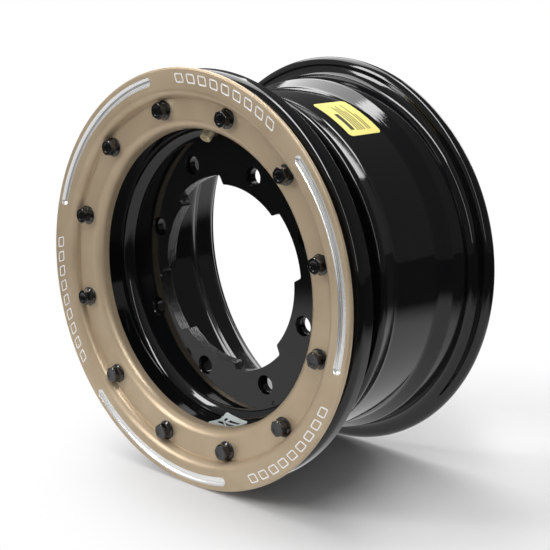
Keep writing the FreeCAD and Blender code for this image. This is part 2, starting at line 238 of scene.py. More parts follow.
def addNode(tree, kind, settings, inputs):
    # each input is a plain value or another node's output
    node = tree.nodes.new(kind)
    for key, value in settings.items():
        setattr(node, key, value)
    for key, value in inputs.items():
        if isinstance(value, bpy.types.NodeSocket):
            tree.links.new(value, node.inputs[key])
        else:
            node.inputs[key].default_value = value
    return node


def newMaterial(name, values):
    material = bpy.data.materials.new(name)
    material.use_nodes = True
    shader = material.node_tree.nodes["Principled BSDF"]
    for key, value in values.items():
        shader.inputs[key].default_value = value
    return material, material.node_tree, shader


def radiusFrom(tree, place):
    # distance from the wheel's axis
    across = addNode(tree, "ShaderNodeVectorMath", {"operation": "MULTIPLY"}, {
        0: place, 1: (1, 0, 1)})
    length = addNode(tree, "ShaderNodeVectorMath", {"operation": "LENGTH"}, {0: across.outputs[0]})
    return length.outputs["Value"]


# Anodised aluminium, bead blasted and dyed champagne: a soft satin with a fine grain
def champagneAnodise():
    finish = {
        "dye": "#bdaa8f",
        "deepDye": "#b39f84",
        "rough": 0.38,
        "roughSpread": 0.04,
        "grainMm": 0.5,  # blasting pits are nearer 0.05, drawn coarser so that they show
        "pitDeep": 0.04,
        "pitStrength": 0.07,
        "cloudMm": 38,
    }
    material, tree, shader = newMaterial("champagneAnodise", {"Metallic": 0.45})
    place = addNode(tree, "ShaderNodeTexCoord", {}, {}).outputs["Object"]
    clouds = addNode(tree, "ShaderNodeTexNoise", {}, {
        "Vector": place, "Scale": 1000 / finish["cloudMm"], "Detail": 2.0})
    grain = addNode(tree, "ShaderNodeTexNoise", {}, {
        "Vector": place, "Scale": 1000 / finish["grainMm"], "Detail": 2.0})
    share = addNode(tree, "ShaderNodeMapRange", {}, {
        "Value": clouds.outputs["Fac"], "From Min": 0.35, "From Max": 0.65})
    tint = addNode(tree, "ShaderNodeMix", {"data_type": "RGBA"}, {
        "Factor": share.outputs["Result"],
        "A": linearColour(finish["dye"]),
        "B": linearColour(finish["deepDye"]),
    })
    rough = addNode(tree, "ShaderNodeMapRange", {}, {
        "Value": grain.outputs["Fac"], "From Min": 0.3, "From Max": 0.7,
        "To Min": finish["rough"] - finish["roughSpread"],
        "To Max": finish["rough"] + finish["roughSpread"],
    })
    pits = addNode(tree, "ShaderNodeBump", {}, {
        "Height": grain.outputs["Fac"], "Strength": finish["pitStrength"],
        "Distance": mm(finish["pitDeep"]),
    })
    tree.links.new(tint.outputs["Result"], shader.inputs["Base Color"])
    tree.links.new(rough.outputs["Result"], shader.inputs["Roughness"])
    tree.links.new(pits.outputs["Normal"], shader.inputs["Normal"])
    return material


# Bare aluminium cut through the dye: bright, with fine lines along the cut. A ball-nosed
# cutter leaves it bright and an engraving point leaves it whiter and dull.
def cutAluminium(name, metallic, rough):
    finish = {
        "metal": "#f4f4f3", "roughSpread": 0.04,
        "lineMm": 0.45, "lineDeep": 0.02, "lineStrength": 0.04,
    }
    material, tree, shader = newMaterial(name, {
        "Metallic": metallic,
        "Base Color": linearColour(finish["metal"]),
    })
    place = addNode(tree, "ShaderNodeTexCoord", {}, {}).outputs["Object"]
    radius = radiusFrom(tree, place)
    lines = addNode(tree, "ShaderNodeTexNoise", {"noise_dimensions": "1D"}, {
        "W": radius, "Scale": 1000 / finish["lineMm"], "Detail": 1.0})
    dullness = addNode(tree, "ShaderNodeMapRange", {}, {
        "Value": lines.outputs["Fac"], "From Min": 0.3, "From Max": 0.7,
        "To Min": rough - finish["roughSpread"],
        "To Max": rough + finish["roughSpread"],
    })
    ridges = addNode(tree, "ShaderNodeBump", {}, {
        "Height": lines.outputs["Fac"], "Strength": finish["lineStrength"],
        "Distance": mm(finish["lineDeep"]),
    })
    tree.links.new(dullness.outputs["Result"], shader.inputs["Roughness"])
    tree.links.new(ridges.outputs["Normal"], shader.inputs["Normal"])
    return material


# Gloss black powder coat on spun aluminium: deep black, a slight orange peel under the gloss
def blackPowderCoat():
    finish = {
        "coat": "#090a0b",
        "rough": 0.07,
        "roughSpread": 0.02,
        "peelMm": 2.2,
        "peelDeep": 0.05,
        "peelStrength": 0.035,
        "turnMm": 1.25,  # turning lines left on the slope up to the hump
        "turnDeep": 0.12,
        "turnStrength": 0.5,
        "turnFrom": 108.0,
        "turnTo": 121.0,
        "turnRadius": 118.5,
        "cutRadius": 67.2,  # inside this radius, and between the disc's faces, the sawn edge shows
        "cutFrom": 36.7,
        "cutTo": 44.3,
        "sawMm": 0.8,
        "sawLength": 7.0,
        "sawDeep": 0.8,
    }
    material, tree, shader = newMaterial("blackPowderCoat", {
        "Base Color": linearColour(finish["coat"]),
        "IOR": 1.5,
    })
    place = addNode(tree, "ShaderNodeTexCoord", {}, {}).outputs["Object"]
    split = addNode(tree, "ShaderNodeSeparateXYZ", {}, {0: place})
    depth = split.outputs["Y"]
    radius = radiusFrom(tree, place)
    peel = addNode(tree, "ShaderNodeTexNoise", {}, {
        "Vector": place, "Scale": 1000 / finish["peelMm"], "Detail": 1.0}).outputs["Fac"]
    peelBump = addNode(tree, "ShaderNodeBump", {}, {
        "Height": peel, "Strength": finish["peelStrength"],
        "Distance": mm(finish["peelDeep"]),
    }).outputs["Normal"]
    # the turning lines start and stop softly at both ends of the slope
    middle = station((finish["turnFrom"] + finish["turnTo"]) / 2)
    offset = addNode(tree, "ShaderNodeMath", {"operation": "SUBTRACT"}, {
        0: depth, 1: middle}).outputs[0]
    away = addNode(tree, "ShaderNodeMath", {"operation": "ABSOLUTE"}, {0: offset}).outputs[0]
    near = addNode(tree, "ShaderNodeMapRange", {"interpolation_type": "SMOOTHSTEP"}, {
        "Value": away, "From Min": mm(finish["turnTo"] - finish["turnFrom"]) / 2, "From Max": 0.0,
        "To Min": 0.0, "To Max": 1.0,
    }).outputs["Result"]
    outer = addNode(tree, "ShaderNodeMath", {"operation": "GREATER_THAN"}, {
        0: radius, 1: mm(finish["turnRadius"])}).outputs[0]
    lines = addNode(tree, "ShaderNodeTexNoise", {"noise_dimensions": "1D"}, {
        "W": depth, "Scale": 1000 / finish["turnMm"], "Detail": 2.0}).outputs["Fac"]
    band = addNode(tree, "ShaderNodeMath", {"operation": "MULTIPLY"}, {
        0: near, 1: outer}).outputs[0]
    turned = addNode(tree, "ShaderNodeMath", {"operation": "MULTIPLY"}, {
        0: lines, 1: band}).outputs[0]
    turnBump = addNode(tree, "ShaderNodeBump", {}, {
        "Height": turned, "Strength": finish["turnStrength"],
        "Distance": mm(finish["turnDeep"]), "Normal": peelBump,
    }).outputs["Normal"]
    # saw marks run round the hub opening: fine across the sheet, long along its edge
    clock = addNode(tree, "ShaderNodeMath", {"operation": "ARCTAN2"}, {
        0: split.outputs["Z"], 1: split.outputs["X"]}).outputs[0]
    along = addNode(tree, "ShaderNodeMath", {"operation": "MULTIPLY"}, {
        0: clock, 1: finish["cutRadius"] / finish["sawLength"]}).outputs[0]
    down = addNode(tree, "ShaderNodeMath", {"operation": "MULTIPLY"}, {
        0: depth, 1: 1000 / finish["sawMm"]}).outputs[0]
    grid = addNode(tree, "ShaderNodeCombineXYZ", {}, {"X": along, "Y": down}).outputs[0]
    marks = addNode(tree, "ShaderNodeTexNoise", {}, {"Vector": grid, "Scale": 1.0, "Detail": 4.0})
    inner = addNode(tree, "ShaderNodeMath", {"operation": "LESS_THAN"}, {
        0: radius, 1: mm(finish["cutRadius"])}).outputs[0]
    between = addNode(tree, "ShaderNodeMath", {"operation": "COMPARE"}, {
        0: depth,
        1: station((finish["cutFrom"] + finish["cutTo"]) / 2),
        2: mm(finish["cutTo"] - finish["cutFrom"]) / 2,
    }).outputs[0]
    onEdge = addNode(tree, "ShaderNodeMath", {"operation": "MULTIPLY"}, {
        0: inner, 1: between}).outputs[0]
    sawn = addNode(tree, "ShaderNodeMath", {"operation": "MULTIPLY"}, {
        0: marks.outputs["Fac"], 1: onEdge}).outputs[0]
    sawBump = addNode(tree, "ShaderNodeBump", {}, {
        "Height": sawn, "Strength": 1.0, "Distance": mm(finish["sawDeep"]), "Normal": turnBump,
    }).outputs["Normal"]
    rough = addNode(tree, "ShaderNodeMapRange", {}, {
        "Value": peel, "From Min": 0.3, "From Max": 0.7,
        "To Min": finish["rough"] - finish["roughSpread"],
        "To Max": finish["rough"] + finish["roughSpread"],
    })
    tree.links.new(rough.outputs["Result"], shader.inputs["Roughness"])
    tree.links.new(sawBump, shader.inputs["Normal"])
    return material


# Black zinc over rolled steel: near black and glossy, a little thin where the spanner rubs
def blackZinc():
    finish = {
        "zinc": "#060606", "thin": "#141414", "rough": 0.12, "roughSpread": 0.04,
        "scuffMm": 2.2, "scuffDeep": 0.05, "scuffStrength": 0.1,
    }
    material, tree, shader = newMaterial("blackZinc", {"Coat Weight": 0.6, "Coat Roughness": 0.05})
    place = addNode(tree, "ShaderNodeTexCoord", {}, {}).outputs["Object"]
    scuff = addNode(tree, "ShaderNodeTexNoise", {}, {
        "Vector": place, "Scale": 1000 / finish["scuffMm"], "Detail": 4.0}).outputs["Fac"]
    share = addNode(tree, "ShaderNodeMapRange", {}, {
        "Value": scuff, "From Min": 0.6, "From Max": 0.75})
    tint = addNode(tree, "ShaderNodeMix", {"data_type": "RGBA"}, {
        "Factor": share.outputs["Result"],
        "A": linearColour(finish["zinc"]),
        "B": linearColour(finish["thin"]),
    })
    rough = addNode(tree, "ShaderNodeMapRange", {}, {
        "Value": scuff, "From Min": 0.3, "From Max": 0.7,
        "To Min": finish["rough"] - finish["roughSpread"],
        "To Max": finish["rough"] + finish["roughSpread"],
    })
    bump = addNode(tree, "ShaderNodeBump", {}, {
        "Height": scuff, "Strength": finish["scuffStrength"], "Distance": mm(finish["scuffDeep"])})
    tree.links.new(tint.outputs["Result"], shader.inputs["Base Color"])
    tree.links.new(rough.outputs["Result"], shader.inputs["Roughness"])
    tree.links.new(bump.outputs["Normal"], shader.inputs["Normal"])
    return material


# Turned brass with a thin nickel wash, dulled a little by handling
def turnedBrass():
    finish = {
        "brass": "#ece0c4", "dull": "#d3c29c", "rough": 0.3,
        "spotMm": 1.2, "spotDeep": 0.03, "spotStrength": 0.1,
    }
    material, tree, shader = newMaterial("turnedBrass", {
        "Metallic": 0.55,
        "Roughness": finish["rough"],
    })
    place = addNode(tree, "ShaderNodeTexCoord", {}, {}).outputs["Object"]
    spots = addNode(tree, "ShaderNodeTexNoise", {}, {
        "Vector": place, "Scale": 1000 / finish["spotMm"], "Detail": 3.0}).outputs["Fac"]
    tint = addNode(tree, "ShaderNodeMix", {"data_type": "RGBA"}, {
        "Factor": spots,
        "A": linearColour(finish["brass"]),
        "B": linearColour(finish["dull"]),
    })
    bump = addNode(tree, "ShaderNodeBump", {}, {
        "Height": spots, "Strength": finish["spotStrength"], "Distance": mm(finish["spotDeep"])})
    tree.links.new(tint.outputs["Result"], shader.inputs["Base Color"])
    tree.links.new(bump.outputs["Normal"], shader.inputs["Normal"])
    return material


# Moulded EPDM rubber: soft black with a faint bloom
def mouldedRubber():
    finish = {
        "rubber": "#161616", "bloom": "#242423", "rough": 0.6,
        "grainMm": 0.5, "grainDeep": 0.04, "grainStrength": 0.2,
    }
    material, tree, shader = newMaterial("mouldedRubber", {"Roughness": finish["rough"]})
    place = addNode(tree, "ShaderNodeTexCoord", {}, {}).outputs["Object"]
    grain = addNode(tree, "ShaderNodeTexNoise", {}, {
        "Vector": place, "Scale": 1000 / finish["grainMm"], "Detail": 2.0}).outputs["Fac"]
    tint = addNode(tree, "ShaderNodeMix", {"data_type": "RGBA"}, {
        "Factor": grain,
        "A": linearColour(finish["rubber"]),
        "B": linearColour(finish["bloom"]),
    })
    bump = addNode(tree, "ShaderNodeBump", {}, {
        "Height": grain, "Strength": finish["grainStrength"], "Distance": mm(finish["grainDeep"])})
    tree.links.new(tint.outputs["Result"], shader.inputs["Base Color"])
    tree.links.new(bump.outputs["Normal"], shader.inputs["Normal"])
    return material


# Screen-printed film: smooth and slightly glossy, printed with rows of plain bars.
# A row is its lower and upper limit across the film, then its two ends, as shares of the film.
def printedFilm(name, film, ink, rough, rows):
    wrinkle = {"size": 9, "deep": 0.08, "strength": 0.12}
    material, tree, shader = newMaterial(name, {"Roughness": rough})
    place = addNode(tree, "ShaderNodeTexCoord", {}, {}).outputs["Object"]
    across = addNode(tree, "ShaderNodeUVMap", {"uv_map": "labelMap"}, {}).outputs["UV"]
    split = addNode(tree, "ShaderNodeSeparateXYZ", {}, {0: across})
    u, v = split.outputs["X"], split.outputs["Y"]
    marks = 0.0
    for low, high, start, end in rows:
        inside = 1.0
        for socket, limit, test in (
            (v, low, "GREATER_THAN"), (v, high, "LESS_THAN"),
            (u, start, "GREATER_THAN"), (u, end, "LESS_THAN"),
        ):
            passed = addNode(tree, "ShaderNodeMath", {"operation": test}, {0: socket, 1: limit})
            inside = addNode(tree, "ShaderNodeMath", {"operation": "MULTIPLY"}, {
                0: inside, 1: passed.outputs[0]}).outputs[0]
        marks = addNode(tree, "ShaderNodeMath", {"operation": "MAXIMUM"}, {
            0: marks, 1: inside}).outputs[0]
    waves = addNode(tree, "ShaderNodeTexNoise", {}, {
        "Vector": place, "Scale": 1000 / wrinkle["size"]})
    tint = addNode(tree, "ShaderNodeMix", {"data_type": "RGBA"}, {
        "Factor": marks, "A": linearColour(film), "B": linearColour(ink)})
    bump = addNode(tree, "ShaderNodeBump", {}, {
        "Height": waves.outputs["Fac"], "Strength": wrinkle["strength"],
        "Distance": mm(wrinkle["deep"]),
    })
    tree.links.new(tint.outputs["Result"], shader.inputs["Base Color"])
    tree.links.new(bump.outputs["Normal"], shader.inputs["Normal"])
    return material


anodise = champagneAnodise()
milled = cutAluminium("milledAluminium", 0.8, 0.27)
engraved = cutAluminium("engravedAluminium", 0.35, 0.4)
powder = blackPowderCoat()
zinc = blackZinc()
brass = turnedBrass()
rubber = mouldedRubber()
print("materials made")


# Clamp ring: bolt channel, rolled bore, milled arc grooves and rows of engraved links
ring = {
    "radius": 139.7, "thickness": 3.3, "edge": 1.4,
    "bore": 99.3, "boreDraft": 1.0, "boreRound": 7.0, "skirtEnd": 16.5, "skirt": 3.0,
    "skirtBend": 3.0, "cutEdge": 0.4,
    "channelDepth": 6.5, "channelRadius": 120.1, "wallLean": 1.2, "shoulder": 6.15,
    "channelCorner": 0.5, "heel": 1.4, "heelRound": 2.0,
    "shoulderHeel": 5.9, "shoulderHeelRound": 3.0,
    "grooveRadius": 132.9, "grooveWidth": 6.0, "grooveDepth": 1.6, "grooveHalf": 29.8,
    "firstGroove": 14.4, "grooves": 3, "grooveSteps": 72,
    "links": 9, "linkPitch": 4.55, "linkLength": 7.4, "linkHeight": 6.2, "linkRound": 1.3,
    "linkStroke": 0.95, "linkDepth": 0.3, "linkSlant": 18,
}


def ringCorners():
    back = ring["channelDepth"] + ring["thickness"]
    shoulder = ring["channelRadius"] + ring["wallLean"]
    skirt = ring["bore"] + ring["skirt"]
    return [
        (ring["radius"], 0, ring["edge"]),
        (shoulder, 0, ring["shoulder"]),
        (ring["channelRadius"], ring["channelDepth"], ring["channelCorner"]),
        (ring["bore"] + ring["boreDraft"], ring["channelDepth"], ring["boreRound"]),
        (ring["bore"], ring["skirtEnd"], ring["cutEdge"]),
        (skirt, ring["skirtEnd"], ring["cutEdge"]),
        (skirt, back, ring["skirtBend"]),
        (ring["channelRadius"] + ring["heel"], back, ring["heelRound"]),
        (shoulder + ring["shoulderHeel"], ring["thickness"], ring["shoulderHeelRound"]),
        (ring["radius"], ring["thickness"], ring["edge"]),
    ]


def grooveCutter(clock):
    ball = ring["grooveWidth"] ** 2 / (8 * ring["grooveDepth"]) + ring["grooveDepth"] / 2
    half = ring["grooveHalf"] - math.degrees(ring["grooveWidth"] / 2 / ring["grooveRadius"])
    depth = ring["grooveDepth"] - ball
    deselectAll()
    bpy.ops.mesh.primitive_circle_add(
        vertices=ring["grooveSteps"], radius=mm(ball), fill_type="NGON",
        location=(mm(ring["grooveRadius"]), station(depth), 0))
    arc = bpy.context.object
    bpy.ops.object.transform_apply(location=True, rotation=True, scale=True)
    bpy.ops.object.mode_set(mode="EDIT")
    bpy.ops.mesh.select_all(action="SELECT")
    bpy.ops.mesh.spin(
        steps=ring["grooveSteps"], angle=math.radians(2 * half), center=(0, 0, 0), axis=(0, 1, 0))
    bpy.ops.mesh.select_all(action="SELECT")
    bpy.ops.mesh.normals_make_consistent(inside=False)
    bpy.ops.object.mode_set(mode="OBJECT")
    arc.data.transform(Matrix.Rotation(math.radians(half - clock), 4, "Y"))
    ends = []
    for end in (clock - half, clock + half):
        deselectAll()
        bpy.ops.mesh.primitive_uv_sphere_add(
            segments=ring["grooveSteps"], ring_count=ring["grooveSteps"] // 2, radius=mm(ball),
            location=polar(ring["grooveRadius"], depth, end))
        bpy.ops.object.transform_apply(location=True, rotation=True, scale=True)
        ends.append(bpy.context.object)
    return [arc] + ends


def linkCutter(clock):
    # a slanted rounded frame, engraved as one closed stroke
    deselectAll()
    bpy.ops.mesh.primitive_plane_add(size=1, rotation=(math.radians(90), 0, 0))
    link = bpy.context.object
    link.scale = (mm(ring["linkHeight"]), mm(ring["linkLength"]), 1)
    bpy.ops.object.transform_apply(location=True, rotation=True, scale=True)
    bpy.ops.object.mode_set(mode="EDIT")
    bpy.ops.mesh.select_all(action="SELECT")
    bpy.ops.mesh.bevel(affect="VERTICES", offset=mm(ring["linkRound"]), segments=4)
    bpy.ops.mesh.select_all(action="SELECT")
    bpy.ops.mesh.inset(thickness=mm(ring["linkStroke"]))
    bpy.ops.mesh.delete(type="FACE")
    bpy.ops.mesh.select_all(action="SELECT")
    bpy.ops.mesh.extrude_region_move(
        TRANSFORM_OT_translate={"value": (0, mm(2 * ring["linkDepth"]), 0)})
    bpy.ops.mesh.select_all(action="SELECT")
    bpy.ops.mesh.normals_make_consistent(inside=False)
    bpy.ops.object.mode_set(mode="OBJECT")
    slant = Matrix.Identity(4)
    slant[2][0] = math.tan(math.radians(ring["linkSlant"]))
    turn = Matrix.Rotation(math.radians(-clock), 4, "Y")
    place = Matrix.Translation((mm(ring["grooveRadius"]), station(-ring["linkDepth"]), 0))
    link.data.transform(turn @ place @ slant)
    return link


def makeClampRing():
    piece = spinOutline("clampRing", atStation(ringCorners()))
    piece.data.materials.append(anodise)
    gap = 360 / ring["grooves"]
    for index in range(ring["grooves"]):
        clock = ring["firstGroove"] + index * gap
        cutters = grooveCutter(clock)
        for cutter in cutters:
            cutter.data.materials.append(milled)
        cutWith(piece, cutters)
        links = []
        for count in range(ring["links"]):
            shift = (count - (ring["links"] - 1) / 2) * ring["linkPitch"]
            links.append(linkCutter(clock + gap / 2 + shift))
        row = joinPieces(links, "linkRow")
        row.data.materials.append(engraved)
        cutWith(piece, [row])
    smoothByAngle(piece, 28)
    return finishPiece(piece, None, "ring_metal", "wheel", "clamp_ring")


clampRing = makeClampRing()
print("clamp ring", len(clampRing.data.polygons))


# Bead ring behind it
bead = {
    "bore": 102.6, "mouth": 3.3, "front": 9.8, "step": 125.8, "flangeFront": 11.3, "radius": 137.7,
    "flangeRound": 5.5, "ribBack": 23.0, "ribRadius": 133.6, "flangeBack": 17.3,
    "webRadius": 126.0, "webRound": 3.0, "pocketRound": 2.0, "bodyRadius": 121.0, "bodyBack": 22.0,
    "shell": 105.0, "shellFront": 16.8, "edge": 0.6,
}


def makeBeadRing():
    piece = spinOutline("beadRing", atStation([
        (bead["bore"], bead["front"], bead["mouth"]),
        (bead["step"], bead["front"], bead["edge"]),
        (bead["step"], bead["flangeFront"], bead["edge"]),
        (bead["radius"], bead["flangeFront"], bead["flangeRound"]),
        (bead["radius"], bead["ribBack"], bead["edge"]),
        (bead["ribRadius"], bead["ribBack"], bead["edge"]),
        (bead["ribRadius"], bead["flangeBack"], bead["pocketRound"]),
        (bead["webRadius"], bead["flangeBack"], bead["webRound"]),
        (bead["bodyRadius"], bead["bodyBack"], bead["pocketRound"]),
        (bead["shell"], bead["bodyBack"], 0),
        (bead["shell"], bead["shellFront"], 0),
        (bead["bore"], bead["shellFront"], bead["edge"]),
    ]))
    smoothByAngle(piece, 28)
    return finishPiece(piece, powder, "black_coat", "wheel", "bead_ring")


makeBeadRing()
print("bead ring")


# Hub disc openings, cut through both shells
hub = {
    "repeat": 4, "clock": 26.0, "tab": 60.4, "recess": 66.5, "recessHalf": 20.6, "stepWide": 3.4,
    "discFront": 36.5, "wideCircle": 78.0, "narrowCircle": 72.0,
    "hole": 5.5, "seat": 6.7, "seatDepth": 2.08, "proud": 1.0, "through": 16.0, "holeSteps": 48,
    "cutterSteps": 480, "cutterLength": 30, "spare": 2, "edge": 0.3,
}


def hubCutter():
    deselectAll()
    bpy.ops.mesh.primitive_cylinder_add(
        vertices=hub["cutterSteps"], radius=mm(hub["tab"]), depth=mm(hub["cutterLength"]),
        rotation=(math.radians(90), 0, 0))
    cutter = bpy.context.object
    bpy.ops.object.transform_apply(location=True, rotation=True, scale=True)
    bpy.ops.object.mode_set(mode="EDIT")
    bpy.ops.transform.translate(value=(0, station(hub["discFront"]), 0))
    bpy.ops.object.mode_set(mode="OBJECT")
    gap = 360 / hub["repeat"]
    for vertex in cutter.data.vertices:
        clock = math.degrees(math.atan2(vertex.co.z, vertex.co.x)) - hub["clock"]
        # degrees from the end of the nearest recess, less than nothing inside it
        away = abs((clock + gap / 2) % gap - gap / 2) - hub["recessHalf"]
        blend = min(max(0.5 - away / hub["stepWide"], 0), 1)
        blend = blend * blend * (3 - 2 * blend)
        radius = hub["tab"] + (hub["recess"] - hub["tab"]) * blend
        vertex.co.x *= radius / hub["tab"]
        vertex.co.z *= radius / hub["tab"]
    return cutter


def lugCutters():
    slope = (hub["seat"] - hub["hole"]) / hub["seatDepth"]
    master = spinOutline("lugCutter", [
        (0, -hub["proud"], 0),
        (hub["seat"] + hub["proud"] * slope, -hub["proud"], 0),
        (hub["hole"], hub["seatDepth"], 0),
        (hub["hole"], hub["through"], 0),
        (0, hub["through"], 0),
    ], hub["holeSteps"])
    gap = 360 / hub["repeat"]
    holes = []
    for index in range(hub["repeat"]):
        for radius, shift in ((hub["wideCircle"], 0), (hub["narrowCircle"], gap / 2)):
            clock = hub["clock"] + shift + index * gap
            place = Matrix.Translation(polar(radius, hub["discFront"], clock))
            holes.append(copyOf(master, "lugHole", place))
    bpy.data.objects.remove(master)
    return holes


def openDisc(piece):
    # the holes go first: cut after the opening they leave slits in the disc
    cutWith(piece, [joinPieces(lugCutters(), "lugHoles")])
    cutWith(piece, [hubCutter()])
    edge = piece.modifiers.new("edge", "BEVEL")
    edge.width = mm(hub["edge"])
    edge.segments = 2
    edge.limit_method = "ANGLE"
    edge.angle_limit = math.radians(50)
    applyModifiers(piece)
    smoothByAngle(piece, 32)
    # the wide flat faces keep their own normals beside the narrow rounds
    weigh = piece.modifiers.new("weigh", "WEIGHTED_NORMAL")
    weigh.weight = 100
    weigh.keep_sharp = True
    applyModifiers(piece)


# The valve's sizes and place, square to the bowl's round
valve = {
    "clock": 97.0, "lean": 45.0, "seatRadius": 92.0, "seatStation": 27.5,
    "radius": 3.875, "mouth": -0.6, "back": 17.0, "headRadius": 5.2, "headHeight": 1.5,
    "chamfer": 0.5, "pitch": 0.79, "threadDepth": 0.32, "threadTo": 4.9, "threadEnd": 5.8,
    "crestShare": 0.2, "rootShare": 0.6,  # where a turn's crest ends and its root lies
    "neckRadius": 3.45, "neckSlope": 0.4, "headRound": 0.3, "mouthRound": 0.2,
    "bore": 2.5, "chamber": 11.7, "chamberSlope": 0.6, "passage": 1.5,
    "hole": 5.65, "holeFrom": 6.0, "holeTo": 16.0,
}


def valveMatrix():
    outward = polar(1, 0, valve["clock"])
    outward.y = 0
    outward.normalize()
    lean = math.radians(valve["lean"])
    along = outward * math.cos(lean) + Vector((0, 1, 0)) * math.sin(lean)
    seat = polar(valve["seatRadius"], valve["seatStation"], valve["clock"])
    turn = Vector((0, 1, 0)).rotation_difference(along)
    return Matrix.Translation(seat) @ turn.to_matrix().to_4x4()


# Outer shell: bowl and front layer of the disc, with the hole for the valve
shell = {"sheet": 4.0, "bowl": 101.0, "bowlRound": 9.0, "front": 16.8}


def makeOuterShell():
    back = hub["discFront"] + shell["sheet"]
    path = [
        (shell["bowl"] + shell["sheet"], shell["front"], 0),
        (shell["bowl"] + shell["sheet"], back, shell["bowlRound"] + shell["sheet"]),
        (hub["tab"] - hub["spare"], back, 0),
    ]
    inside = offsetPath(path, shell["sheet"])
    piece = spinOutline("outerShell", atStation(path + inside[::-1]))
    drill = spinOutline("valveDrill", [
        (0, valve["holeFrom"], 0), (valve["hole"], valve["holeFrom"], 0),
        (valve["hole"], valve["holeTo"], 0), (0, valve["holeTo"], 0),
    ], smallSteps)
    drill.data.transform(valveMatrix())
    cutWith(piece, [drill])
    openDisc(piece)
    return finishPiece(piece, powder, "black_coat", "wheel", "outer_shell")


outerShell = makeOuterShell()
print("outer shell", len(outerShell.data.polygons))


# Inner shell: doubler, well, drop centre, bead seat and rolled lip
barrel = {
    "doubler": 90.0, "doublerRound": 7.0, "wellRise": 8.5, "wellRound": 3.0, "wallLean": 1.2,
    "crest": 123.6, "crestRound": 4.6, "crestSlope": 17.8, "drop": 119.2, "dropIn": 15.0,
    "dropEnd": 110.0, "dropOut": 8.0, "hump": 124.9, "humpStation": 120.0, "humpRound": 5.0,
    "seatRise": 1.6, "flange": 139.5, "flangeRound": 6.5, "lip": 138.5, "lipRound": 4.9,
    "width": 149.5, "foot": 130.5, "footRound": 2.5, "footEdge": 0.8,
}


def makeInnerShell():
    b = barrel
    front = hub["discFront"] + shell["sheet"]
    well = front + b["wellRise"]
    path = [
        (hub["tab"] - hub["spare"], front, 0),
        (b["doubler"], front, b["doublerRound"]),
        (b["doubler"] + b["wellRise"], well, b["wellRound"]),
        (b["crest"], well + b["wallLean"], b["crestRound"]),
        (b["drop"], well + b["wallLean"] + b["crestSlope"], b["dropIn"]),
        (b["drop"], b["dropEnd"], b["dropOut"]),
        (b["hump"], b["humpStation"], b["humpRound"]),
        (b["hump"] + b["seatRise"], b["flange"], b["flangeRound"]),
        (b["lip"], b["flange"], b["lipRound"]),
    ]
    inside = offsetPath(path, shell["sheet"])
    lip = [
        (b["lip"], b["width"], b["lipRound"]),
        (b["foot"], b["width"], b["footRound"]),
        (b["foot"], b["flange"] + shell["sheet"], b["footEdge"]),
    ]
    piece = spinOutline("innerShell", atStation(path + lip + inside[-2::-1]))
    openDisc(piece)
    return finishPiece(piece, powder, "black_coat", "wheel", "inner_shell")


innerShell = makeInnerShell()
print("inner shell", len(innerShell.data.polygons))


# Clamp bolts: flanged hexagon heads, one modelled and copied round the channel
bolt = {
    "count": 12, "circle": 113.5, "clock": 14.4, "turn": 23.0,
    "flats": 10.0, "head": 6.6, "sides": 6, "edge": 0.35,
    "crownReach": 0.6, "crownOver": 1.0, "crownDrop": 1.0, "crownTop": 4.7, "crownRound": 0.3,
    "dishRim": 3.2, "dish": 2.9, "dishDeep": 0.35, "dishMiddle": 0.45, "dishRound": 0.2,
    "flange": 6.6, "flangeEdge": 1.0, "flangeTop": 2.3, "flangeFoot": 0.25, "flangeRound": 0.4,
    "shank": 2.95, "shankSteps": 40, "length": 16.0, "point": 0.8, "seat": 6.5, "sunk": 0.5,
}


def modelBolt():
    b = bolt
    corner = b["flats"] / math.sqrt(3)
    deselectAll()
    bpy.ops.mesh.primitive_cylinder_add(
        vertices=b["sides"], radius=mm(corner), depth=mm(b["head"]),
        rotation=(math.radians(90), 0, 0))
    head = bpy.context.object
    bpy.ops.object.transform_apply(location=True, rotation=True, scale=True)
    head.data.transform(Matrix.Translation((0, -mm(b["head"] / 2), 0)))
    # what the hexagon and this crowned, dished form share is the head
    reach = corner + b["crownReach"]
    crown = spinOutline("crown", [
        (0, b["crownOver"], 0), (reach, b["crownOver"], 0),
        (reach, -b["head"] + b["crownDrop"], 0),
        (b["crownTop"], -b["head"], b["crownRound"]),
        (b["dishRim"], -b["head"], b["dishRound"]),
        (b["dish"], -b["head"] + b["dishDeep"], b["dishRound"]),
        (0, -b["head"] + b["dishMiddle"], 0),
    ], smallSteps)
    meet = head.modifiers.new("crown", "BOOLEAN")
    meet.operation = "INTERSECT"
    meet.object = crown
    edge = head.modifiers.new("edge", "BEVEL")
    edge.width = mm(b["edge"])
    edge.segments = 3
    edge.limit_method = "ANGLE"
    edge.angle_limit = math.radians(25)
    applyModifiers(head)
    bpy.data.objects.remove(crown)
    flange = spinOutline("flange", [
        (0, 0, 0),
        (b["flange"], 0, b["flangeFoot"]),
        (b["flange"], -b["flangeEdge"], b["flangeRound"]),
        (b["flats"] / 2, -b["flangeTop"], b["flangeRound"]),
        (0, -b["flangeTop"], 0),
    ], smallSteps)
    shank = spinOutline("shank", [
        (0, -b["sunk"], 0), (b["shank"], -b["sunk"], 0),
        (b["shank"], b["length"] - b["point"], 0),
        (b["shank"] - b["point"], b["length"], 0), (0, b["length"], 0),
    ], b["shankSteps"])
    whole = joinPieces([head, flange, shank], "boltMaster")
    smoothByAngle(whole, 35)
    return whole


def makeBolts():
    master = modelBolt()
    for index in range(bolt["count"]):
        clock = bolt["clock"] + index * 360 / bolt["count"]
        place = Matrix.Translation(polar(bolt["circle"], bolt["seat"], clock))
        turn = Matrix.Rotation(math.radians(-index * bolt["turn"]), 4, "Y")
        piece = copyOf(master, "clampBolt%02d" % (index + 1), place @ turn)
        finishPiece(piece, zinc, "bolt_steel", "wheel", "clamp_bolt_%02d" % (index + 1))
    bpy.data.objects.remove(master)


